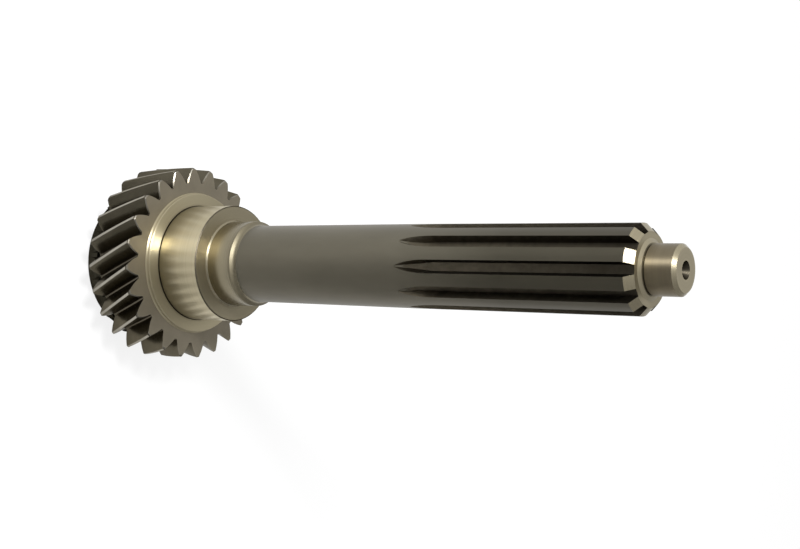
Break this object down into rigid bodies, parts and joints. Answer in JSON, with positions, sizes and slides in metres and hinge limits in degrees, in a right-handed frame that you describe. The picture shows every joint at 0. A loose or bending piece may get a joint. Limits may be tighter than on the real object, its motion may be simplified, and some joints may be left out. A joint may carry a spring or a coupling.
{
  "type": "pilot shaft",
  "caption": "Gearbox pilot shaft in one piece: helical gear with cone and clutch teeth behind it, bearing seat, plain collar, straight splines that run out along the body, and a small pilot.",
  "frame": {"origin": "centre of the clutch hub's rear end face, which the shaft stands on", "axes": "+Z along the shaft's axis, from the clutch hub towards the pilot journal; a pair of splines lies on either side of +X, half a spline pitch from it"},
  "size_m": [0.1124, 0.1124, 0.358],
  "materials": {
    "shaft_steel": "hardened steel, ground bright at the bearing seat, dull on the body"
  },
  "bodies": {
    "root": {"pilot_shaft": "shaft_steel"}
  },
  "joints": []
}
